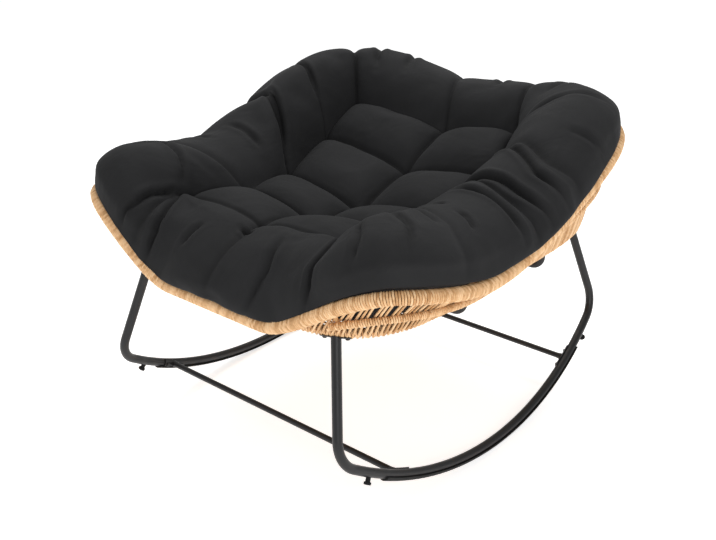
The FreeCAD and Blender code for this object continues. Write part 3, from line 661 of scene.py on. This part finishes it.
set_inputs(tree, shader, {
    "Base Color": tinted(tree, cloth_black, cloth_tone_and_crease_shade),
    "Normal": wrinkled.outputs["Normal"],
    "Roughness": 0.78,
    "Specular IOR Level": 0.16,
    "Sheen Weight": 0.03,
    "Sheen Roughness": 0.45,
})
print("cloth material ready")

# %% [markdown]
# ## The cushion's plan
# Fifteen tufts in three columns and five rows pull the cover down. Between them lie eight plump cells, and
# around them a thick roll of petals climbs over the rim. Sculpting would give no even cells, so the cover is a
# grid over the net of tufts, low along its seams and swollen between them. Every outer tuft sends one seam
# across the roll, so the roll's mesh columns run along those seams: each starts at the tuft loop and ends at
# its own place on the rim.

# %% Tufts and seams
tuft_x = np.array([
    [-0.240, -0.012, 0.236],
    [-0.203, 0.002, 0.212],
    [-0.230, -0.003, 0.226],
    [-0.268, -0.008, 0.236],
    [-0.262, 0.009, 0.204],
])
tuft_y = np.array([
    [-0.338, -0.334, -0.340],
    [-0.186, -0.187, -0.186],
    [-0.030, -0.033, -0.032],
    [0.145, 0.142, 0.136],
    [0.260, 0.272, 0.279],
])
tuft_z = np.array([
    [0.520, 0.516, 0.520],
    [0.510, 0.472, 0.512],
    [0.498, 0.455, 0.502],
    [0.548, 0.509, 0.548],
    [0.618, 0.587, 0.618],
])
seam_turns = [0, 28, 57, 80, 98, 158, 187, 225, 245, 263, 304, 334, 360]
seam_weights = [0.6, 0.75, 0.5, 0.8, 0.7, 0.8, 0.8, 1.0, 0.5, 1.0, 0.5, 0.65]
print("plan:", tuft_x.size, "tufts and", len(seam_weights), "seams across the roll")

# %% Cells between the tufts
cell_columns, cell_rows = 30, 24
wide, deep = 2 * cell_columns, 4 * cell_rows
cell_width, cell_depth = 0.225, 0.155
cell_rise, seam_rise, front_seam_rise = 0.047, 0.017, 0.014
cell_round_across, cell_round_along = 0.100, 0.074
seam_round_across, seam_round_along = 0.11, 0.08


def net(values, row, column):
    """Straight blend of the tuft net's values at fractional rows and columns."""
    i = np.clip(np.floor(row).astype(int), 0, 3)
    j = np.clip(np.floor(column).astype(int), 0, 1)
    a, b = row - i, column - j
    low = values[i, j] * (1 - b) + values[i, j + 1] * b
    high = values[i + 1, j] * (1 - b) + values[i + 1, j + 1] * b
    return low * (1 - a) + high * a


def plump(distance, radius):
    """Quarter circle: 0 at a seam, 1 from a radius away."""
    return np.sqrt(1 - (1 - np.clip(distance / radius, 0, 1)) ** 2)


row, column = np.meshgrid(
    np.arange(deep + 1) / cell_rows, np.arange(wide + 1) / cell_columns, indexing="ij"
)
pad = np.stack([net(values, row, column) for values in (tuft_x, tuft_y, tuft_z)], axis=-1)
to_column_seam = np.abs(column - np.round(column)) * cell_width
to_row_seam = np.abs(row - np.round(row)) * cell_depth
swell = plump(to_column_seam, cell_round_across) * plump(to_row_seam, cell_round_along)
along_seam = np.maximum(
    plump(to_column_seam, seam_round_across), plump(to_row_seam, seam_round_along)
)
seam_height = seam_rise + front_seam_rise * np.clip(1 - 2 * row, 0, 1)
pad[..., 2] += cell_rise * swell + seam_height * along_seam * (1 - swell)
print("pad grid", pad.shape[:2], "heights", pad[..., 2].min().round(3), pad[..., 2].max().round(3))

# %% [markdown]
# ## The outer roll
# Each column of the roll is one upright slice: from the tuft loop up to a broad crest, over a round side, down
# to the rim and back under along the basket. A slice at a seam is lower and tighter than one in the middle of a
# petal, and a quarter-circle blend between the two gives full petals with sharp valleys. Cutting valleys into a
# plain roll would leave steps along them; here each column needs only its two curves.

# %% Columns of the roll
loop_index = (
    [(0, j) for j in range(cell_columns, wide)]
    + [(i, wide) for i in range(deep)]
    + [(deep, j) for j in range(wide, 0, -1)]
    + [(i, 0) for i in range(deep, 0, -1)]
    + [(0, j) for j in range(cell_columns)]
)
columns = len(loop_index)
side_steps = [cell_rows] * 4
seam_columns = np.cumsum(
    [0, cell_columns] + side_steps + [cell_columns] * 2 + side_steps + [cell_columns]
)
turn = np.interp(np.arange(columns), seam_columns, seam_turns)
loop = np.array([pad[i, j] for i, j in loop_index])
loop_out, loop_up = np.hypot(loop[:, 0], loop[:, 1]), loop[:, 2]
edge_out, edge_height = rim_out(turn), rim_height(turn)
print("roll:", columns, "columns")

# %% Crest of the roll
# Each row: turn, crest above the rim, crest inside the rim, shoulder above the rim.
crest_table = [
    (0, 0.113, 0.085, 0.094), (12, 0.127, 0.095, 0.104), (20, 0.132, 0.100, 0.108),
    (28, 0.118, 0.100, 0.102), (36, 0.097, 0.105, 0.090), (45, 0.094, 0.110, 0.088),
    (60, 0.101, 0.140, 0.088), (75, 0.105, 0.145, 0.086), (92, 0.103, 0.135, 0.084),
    (110, 0.095, 0.115, 0.082), (135, 0.090, 0.105, 0.079), (160, 0.093, 0.110, 0.079),
    (180, 0.093, 0.110, 0.081), (200, 0.093, 0.110, 0.079), (220, 0.096, 0.105, 0.085),
    (240, 0.099, 0.110, 0.089), (255, 0.112, 0.115, 0.086), (268, 0.108, 0.120, 0.078),
    (285, 0.094, 0.110, 0.078), (300, 0.096, 0.100, 0.091), (315, 0.097, 0.100, 0.092),
    (328, 0.098, 0.095, 0.090), (338, 0.112, 0.095, 0.097), (348, 0.119, 0.090, 0.099),
    (360, 0.113, 0.085, 0.094),
]
crest, crest_inset, shoulder = (
    eased([(station[0], station[part]) for station in crest_table], turn) for part in (1, 2, 3)
)
print("crest", crest.min().round(3), "to", crest.max().round(3), "m above the rim")

# %% Corner points of a slice
# At the sides the edge hangs over the rim; at the corners it is drawn in.
side_proud, corner_draw = 0.006, 0.010
side_hang, corner_lift = 0.0162, 0.013
hang_reach, hang_least = 0.0168, 0.007
cornered = (1 - np.cos(np.radians(4 * turn))) / 2
proud = side_proud - corner_draw * cornered
hang = side_hang - corner_lift * cornered
hang_height = np.sqrt(np.maximum(hang_reach**2 - hang**2, hang_least**2))
side_inset, side_up, edge_up = 0.012, 0.042, 0.025
lip_out, lip_up = 0.002, 0.0185


def slice_points(drop, pull, bulge):
    """Corner points (distance out, height) of a slice: drop lowers the crest, pull draws the side in."""
    crest_out = edge_out - crest_inset
    crest_up = edge_height + crest - drop
    run, climb = crest_out - loop_out, crest_up - loop_up
    corners = [
        (loop_out, loop_up),
        (loop_out + run * 0.30, loop_up + climb * 0.52 + bulge),
        (loop_out + run * 0.66, loop_up + climb * 0.86 + bulge * 0.7),
        (crest_out, crest_up),
        (edge_out - crest_inset * 0.5 - pull * 0.5, edge_height + shoulder - drop * 0.9),
        (edge_out - side_inset - pull, edge_height + shoulder * 0.74 - drop * 0.6),
        (edge_out + proud - pull, edge_height + side_up - drop * 0.2),
        (edge_out + hang * 0.7 + proud * 0.3 - pull * 0.2, edge_height + edge_up),
        (edge_out + hang, edge_height + hang_height),
        (edge_out + lip_out, edge_height + lip_up),
    ]
    return [np.stack(corner, axis=1) for corner in corners]


print("slices have", len(slice_points(0.0, 0.0, 0.0)), "corner points")


# %% Full and tight slices
def through(points, shares, measured=241):
    """Smooth curve through points for many columns at once, at shares of its measured length."""
    points = np.asarray(points).transpose(1, 0, 2)
    first = 2 * points[:, :1] - points[:, 1:2]
    last = 2 * points[:, -1:] - points[:, -2:-1]
    longer = np.concatenate([first, points, last], axis=1)
    fine_steps = np.linspace(0, points.shape[1] - 1 - 1e-9, measured)
    k = np.floor(fine_steps).astype(int)
    s = (fine_steps - k)[None, :, None]
    a, b, c, d = (longer[:, k + n] for n in range(4))
    curve = 0.5 * (2 * b + (c - a) * s + (2 * a - 5 * b + 4 * c - d) * s**2 + (3 * b - a - 3 * c + d) * s**3)
    steps = np.linalg.norm(np.diff(curve, axis=1), axis=2)
    length = np.concatenate([np.zeros((len(curve), 1)), np.cumsum(steps, axis=1)], axis=1)
    return np.stack([
        np.stack([np.interp(shares * line[-1], line, c[:, n]) for n in range(c.shape[1])], axis=1)
        for line, c in zip(length, curve)
    ]), length[:, -1]


rings = 46
shares = np.linspace(0, 1, rings + 1)
full, slice_length = through(slice_points(drop=0.0, pull=0.0, bulge=0.014), shares)
tight, _ = through(slice_points(drop=0.016, pull=0.009, bulge=0.002), shares)
print("slices:", rings, "steps, length", slice_length.mean().round(3), "m")

# %% Petals between the seams
seam_reach = 0.042
seam_narrow = 0.55
petal = np.searchsorted(seam_columns, np.arange(columns), side="right") - 1
weights = np.array(seam_weights + [seam_weights[0]])
arc = np.linalg.norm(rim(np.append(turn[1:], 360.0)) - rim(turn), axis=1)
along = np.concatenate([[0], np.cumsum(arc)])
gap_before = (along[:-1] - along[seam_columns[petal]])[:, None]
gap_after = (along[seam_columns[petal + 1]] - along[:-1])[:, None]
narrow = seam_narrow + (1 - seam_narrow) * shares[None, :]
fold_before = weights[petal][:, None] * (1 - plump(gap_before * narrow, seam_reach))
fold_after = weights[petal + 1][:, None] * (1 - plump(gap_after * narrow, seam_reach))
seam_fold = np.maximum(fold_before, fold_after)[..., None]
roll_slices = full + (tight - full) * seam_fold
print("petals:", len(set(petal.tolist())))

# %% [markdown]
# ## Underside and closed body
# Under the rim the cushion follows the basket at a small distance and lies flat on the floor strands. The
# rings shrink to one middle point, so the body is closed and can be blown up like a real cushion.

# %% Underside
spare = 0.0055
rim_wrap_radius, ring_wrap_radius = 0.014, 0.0095
floor_inset, floor_half_thick = 0.014, 0.0015
heading = np.stack([np.cos(np.radians(turn)), np.sin(np.radians(turn))], axis=1)


def square_to(curve):
    """How squarely each slice crosses a bar, seen from above: 1 where they meet at a right angle."""
    ahead = unit(curve(turn + 0.01) - curve(turn - 0.01))
    return ahead[:, 0] * heading[:, 0] + ahead[:, 1] * heading[:, 1]


rim_clear = (rim_wrap_radius + spare) / square_to(rim)
ring_clear = (ring_wrap_radius + spare) / square_to(ring)
low_out = ring_out(turn)
floor_out = (
    rounded_square(turn, ring_half_width - slope_run, ring_reach - slope_run, ring_square) - floor_inset
)
tilt = np.maximum(math.pi / 4, np.arctan2(edge_height - ring_height, edge_out - low_out))
rest_height = tray_height + floor_half_thick + spare
inside_rim, below_rim, at_ring, on_floor = (
    np.stack(place, axis=1)
    for place in (
        (edge_out - rim_clear * np.sin(tilt / 2), edge_height + rim_clear * np.cos(tilt / 2)),
        (edge_out - rim_clear * np.sin(tilt), edge_height + rim_clear * np.cos(tilt)),
        (low_out - ring_clear * math.sqrt(0.5), ring_height + ring_clear),
        (floor_out, np.full(columns, rest_height)),
    )
)
under_slices = [inside_rim, below_rim]
under_slices += [below_rim + (at_ring - below_rim) * share for share in (0.25, 0.5, 0.75, 1.0)]
under_slices += [at_ring + (on_floor - at_ring) * share for share in (0.5, 1.0)]
under_slices += [on_floor * np.array([share, 1]) for share in (0.85, 0.7, 0.55, 0.4, 0.25, 0.12)]
print("underside:", len(under_slices), "rings")

# %% Points of the closed body
loop_heading = unit(loop[:, :2])
rim_heading = np.stack([np.sin(np.radians(turn)), -np.cos(np.radians(turn))], axis=1)
spread_rate = 1.6


def placed(slices, spread):
    """Slice points (out, height) in space: directions turn from the tuft loop's to the rim's with spread."""
    way = unit(loop_heading * (1 - spread) + rim_heading * spread)
    return np.concatenate([way * slices[:, :1], slices[:, 1:]], axis=1)


vertices = [tuple(p) for p in pad.reshape(-1, 3)]
ring_ids = [np.array([i * (wide + 1) + j for i, j in loop_index])]
body_rings = [placed(roll_slices[:, k], min(1.0, shares[k] * spread_rate)) for k in range(1, rings + 1)]
body_rings += [placed(slices, 1.0) for slices in under_slices]
for body_ring in body_rings:
    ring_ids.append(np.arange(columns) + len(vertices))
    vertices += [tuple(p) for p in body_ring]
bottom = len(vertices)
vertices.append((0, 0, rest_height))
print("cushion:", len(vertices), "points")

# %% Faces and cloth map
# The cloth map, in metres, is flat over the cells and unrolled along the rim elsewhere.
faces, face_maps = [], []
for i in range(deep):
    for j in range(wide):
        corner = i * (wide + 1) + j
        faces.append((corner, corner + 1, corner + wide + 2, corner + wide + 1))
        face_maps += [vertices[index][:2] for index in faces[-1]]
ring_step = slice_length.mean() / rings
for k, (inner, outer) in enumerate(zip(ring_ids, ring_ids[1:])):
    here, there = k * ring_step, (k + 1) * ring_step
    for j in range(columns):
        n = (j + 1) % columns
        faces.append((inner[j], outer[j], outer[n], inner[n]))
        face_maps += [(along[j], here), (along[j], there), (along[j + 1], there), (along[j + 1], here)]
for j in range(columns):
    faces.append((ring_ids[-1][j], bottom, ring_ids[-1][(j + 1) % columns]))
    face_maps += [vertices[index][:2] for index in faces[-1]]
cushion_mesh = bpy.data.meshes.new("tufted_cushion")
cushion_mesh.from_pydata(vertices, [], faces)
cloth_map = cushion_mesh.uv_layers.new(name="cloth")
cloth_map.data.foreach_set("uv", np.array(face_maps, np.float32).ravel())
shape = bmesh.new()
shape.from_mesh(cushion_mesh)
bmesh.ops.recalc_face_normals(shape, faces=shape.faces)
shape.to_mesh(cushion_mesh)
shape.free()
cushion_mesh.materials.append(cloth)
cushion_mesh.shade_smooth()
cushion = bpy.data.objects.new("tufted_cushion", cushion_mesh)
scene.collection.objects.link(cushion)
print("cushion:", len(faces), "faces")

# %% Painted crease shade along the seams
crease_width = 0.007
# Each point's crease value sets how much shade is painted into the cloth along the tuft seams and the seams
# across the roll.
crease_shade_value = np.zeros(len(vertices))
to_seam = np.minimum(to_column_seam, to_row_seam)
crease_shade_value[: to_seam.size] = np.exp(-((to_seam / crease_width) ** 2)).ravel()
seam_strength = np.where(gap_before[:, 0] < gap_after[:, 0], weights[petal], weights[petal + 1])
across_roll = seam_strength * np.exp(-((np.minimum(gap_before, gap_after)[:, 0] / crease_width) ** 2))
for k in range(1, rings):
    crease_shade_value[ring_ids[k]] = across_roll * (1 - shares[k] ** 3)
crease_shade_layer = cushion_mesh.attributes.new("crease", "FLOAT", "POINT")
crease_shade_layer.data.foreach_set("value", crease_shade_value.astype(np.float32))
print("crease marks on", int((crease_shade_value > 0.5).sum()), "points")

# %% [markdown]
# ## Blowing the cushion up
# A short cloth simulation with inner pressure rounds the cells and petals and pulls small puckers towards the
# seams, as the filling of a real cushion does. The seams, the tufts and the whole underside are pinned, gravity
# is off, and no point may move far. The move is then smoothed, because pins and that limit leave sharp steps.

# %% Sewn points
pins = cushion.vertex_groups.new(name="sewn")
strong_seam, sewn_share = 0.6, 0.72
on_seam = 0.01
seam_row = np.abs(row - np.round(row)) < on_seam
seam_column = np.abs(column - np.round(column)) < on_seam
sewn = set(np.flatnonzero((seam_row | seam_column).ravel()).tolist()) | set(ring_ids[0].tolist())
for k in range(1, rings):
    if shares[k] < sewn_share:
        sewn |= {int(ring_ids[k][s]) for s, w in zip(seam_columns[:-1], seam_weights) if w > strong_seam}
fixed = set(range(int(ring_ids[rings - 1][0]), len(vertices)))
pins.add(sorted(sewn | fixed), 1.0, "REPLACE")
print("sewn:", len(sewn), "points, fixed:", len(fixed))

# %% Filling
fill_frames = 20
furthest_move = 0.017
smoothing_passes = 4
filled = np.array(vertices)
sim = cushion.modifiers.new("filling", "CLOTH")
sim.settings.quality = 6
sim.settings.mass = 0.3
sim.settings.tension_stiffness = 12
sim.settings.compression_stiffness = 12
sim.settings.shear_stiffness = 5
sim.settings.bending_stiffness = 0.4
sim.settings.use_pressure = True
sim.settings.uniform_pressure_force = 4.0
sim.settings.shrink_min = -0.02
sim.settings.vertex_group_mass = "sewn"
sim.settings.effector_weights.gravity = 0.0
sim.collision_settings.use_collision = False
sim.point_cache.frame_start = 1
sim.point_cache.frame_end = fill_frames
for step in range(1, fill_frames + 1):
    scene.frame_set(step)
graph = bpy.context.evaluated_depsgraph_get()
shift = np.array([v.co for v in cushion.evaluated_get(graph).data.vertices]) - filled
cushion.modifiers.clear()
scene.frame_set(1)
length = np.linalg.norm(shift, axis=1, keepdims=True)
shift *= np.minimum(1.0, furthest_move / np.maximum(length, 1e-9))
edges = np.array([e.vertices[:] for e in cushion_mesh.edges])
for _ in range(smoothing_passes):
    total, links = shift.copy(), np.ones(len(shift))
    for a, b in ((0, 1), (1, 0)):
        np.add.at(total, edges[:, a], shift[edges[:, b]])
        np.add.at(links, edges[:, a], 1)
    shift = total / links[:, None]
    shift[sorted(fixed)] = 0
filled = filled + shift
cushion_mesh.vertices.foreach_set("co", filled.astype(np.float32).ravel())
cushion_mesh.update()
print("filled: mean move", length.mean().round(4), "largest", length.max().round(4))

# %% [markdown]
# ## Folds
# A used cushion has folds that no sewing pattern shows: short dents in the front roll and sharp ones beside the
# tufts. A bump texture would leave the outline smooth, so the surface itself sinks. Each fold is a line on the
# roll, given by its turn and by its share of the way from tuft loop to lip. One subdivision makes the surface
# fine enough, and then the points near a fold sink along their normals.

# %% Fold lines
# Each row: depth, width, then the line's (turn, share) points.
folds = [
    (0.014, 0.020, [(334, 0.10), (338, 0.45), (338, 0.93)]),
    (0.014, 0.020, [(334, 0.10), (331, 0.45), (330, 0.93)]),
    (0.009, 0.022, [(332, 0.14), (317, 0.34), (309, 0.52), (312, 0.80)]),
    (0.007, 0.020, [(350, 0.30), (347, 0.60)]),
    (0.010, 0.018, [(358, 0.18), (2, 0.20)]),
    (0.008, 0.022, [(13, 0.20), (14, 0.55), (12, 0.92)]),
    (0.013, 0.016, [(28, 0.15), (28, 0.50), (27, 0.93)]),
    (0.009, 0.020, [(36, 0.35), (37, 0.60), (36, 0.82)]),
    (0.009, 0.020, [(45, 0.34), (47, 0.60), (46, 0.84)]),
    (0.008, 0.018, [(53, 0.38), (54, 0.62)]),
    (0.008, 0.018, [(61, 0.24), (64, 0.42)]),
    (0.008, 0.016, [(63, 0.52), (62, 0.72)]),
    (0.015, 0.020, [(73, 0.28), (75, 0.55), (75, 0.88)]),
    (0.015, 0.022, [(79, 0.16), (83, 0.50), (85, 0.88)]),
    (0.013, 0.024, [(97, 0.06), (95, 0.35), (92, 0.62), (92, 0.88)]),
    (0.006, 0.022, [(110, 0.60), (111, 0.86)]),
    (0.010, 0.022, [(128, 0.20), (130, 0.55), (129, 0.80)]),
    (0.008, 0.022, [(143, 0.40), (145, 0.80)]),
    (0.008, 0.022, [(171, 0.35), (172, 0.75)]),
    (0.008, 0.022, [(206, 0.35), (205, 0.78)]),
    (0.009, 0.024, [(217, 0.30), (216, 0.75)]),
    (0.009, 0.020, [(246, 0.30), (244, 0.75)]),
    (0.014, 0.024, [(263, 0.10), (262, 0.45), (262, 0.88)]),
    (0.008, 0.020, [(280, 0.20), (281, 0.55)]),
    (0.007, 0.020, [(292, 0.45), (293, 0.85)]),
]
line_samples = 60
taper_share, taper_least = 0.25, 0.15
roll_grid = filled[np.array(ring_ids[: rings + 1])]


def on_roll(turn_at, share_at):
    """Point of the roll at a turn and a share of the way to the lip."""
    place_at = np.interp(turn_at % 360, np.append(turn, 360.0), np.arange(columns + 1))
    j, k = int(place_at), min(int(share_at * rings), rings - 1)
    a, b = place_at - j, share_at * rings - k
    j, n = j % columns, (j + 1) % columns
    near_side = roll_grid[k, j] * (1 - a) + roll_grid[k, n] * a
    far_side = roll_grid[k + 1, j] * (1 - a) + roll_grid[k + 1, n] * a
    return near_side * (1 - b) + far_side * b


samples, depths, widths = [], [], []
for depth, width, line_points in folds:
    first_share, last_share = line_points[0][1], line_points[-1][1]
    for (turn_a, share_a), (turn_b, share_b) in zip(line_points, line_points[1:]):
        for step in np.linspace(0, 1, line_samples):
            turn_step = turn_a + ((turn_b - turn_a + 180) % 360 - 180) * step
            share_step = share_a + (share_b - share_a) * step
            way = (share_step - first_share) / (last_share - first_share + 1e-9)
            samples.append(on_roll(turn_step, share_step))
            depths.append(depth * np.clip(min(way, 1 - way) / taper_share, taper_least, 1))
            widths.append(width)
print("folds:", len(folds), "lines with", len(samples), "samples")

# %% Finer mesh
fine = cushion.modifiers.new("fine", "SUBSURF")
fine.levels = 1
fine.render_levels = 1
fine_mesh = plain_mesh(cushion)
count = len(fine_mesh.vertices)
print("finer cushion:", count, "points")

# %% Sinking the folds
fold_reach = 0.62
fold_far = 2.4
valley_power = 1.6
ridge_rise, ridge_at, ridge_width = 0.22, 1.25, 0.45
full_shade_depth = 0.012
finder = KDTree(len(samples))
for number, sample in enumerate(samples):
    finder.insert(sample, number)
finder.balance()
points = np.zeros(count * 3, np.float32)
fine_mesh.vertices.foreach_get("co", points)
points = points.reshape(-1, 3).astype(float)
normals = np.array([v.vector for v in fine_mesh.vertex_normals])
sink = np.zeros(count)
seam_and_fold_shade = np.zeros(count, np.float32)
fine_mesh.attributes["crease"].data.foreach_get("value", seam_and_fold_shade)
for number in range(count):
    _, nearest, distance = finder.find(points[number])
    share = distance / (fold_reach * widths[nearest])
    if share < fold_far:
        valley = max(0.0, 1 - share) ** valley_power
        ridge = ridge_rise * math.exp(-(((share - ridge_at) / ridge_width) ** 2))
        sink[number] = depths[nearest] * (valley - ridge)
        # A point in a fold's valley also gets painted shade, more for a deeper fold.
        seam_and_fold_shade[number] = max(seam_and_fold_shade[number], valley * min(1.0, depths[nearest] / full_shade_depth))
points -= normals * sink[:, None]
fine_mesh.vertices.foreach_set("co", points.astype(np.float32).ravel())
fine_mesh.attributes["crease"].data.foreach_set("value", seam_and_fold_shade)
fine_mesh.update()
print("folds sink up to", round(float(sink.max()), 4), "m")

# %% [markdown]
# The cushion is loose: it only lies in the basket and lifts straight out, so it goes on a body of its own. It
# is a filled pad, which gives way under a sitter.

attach(cushion, "cushion")
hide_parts("seat_cushion")
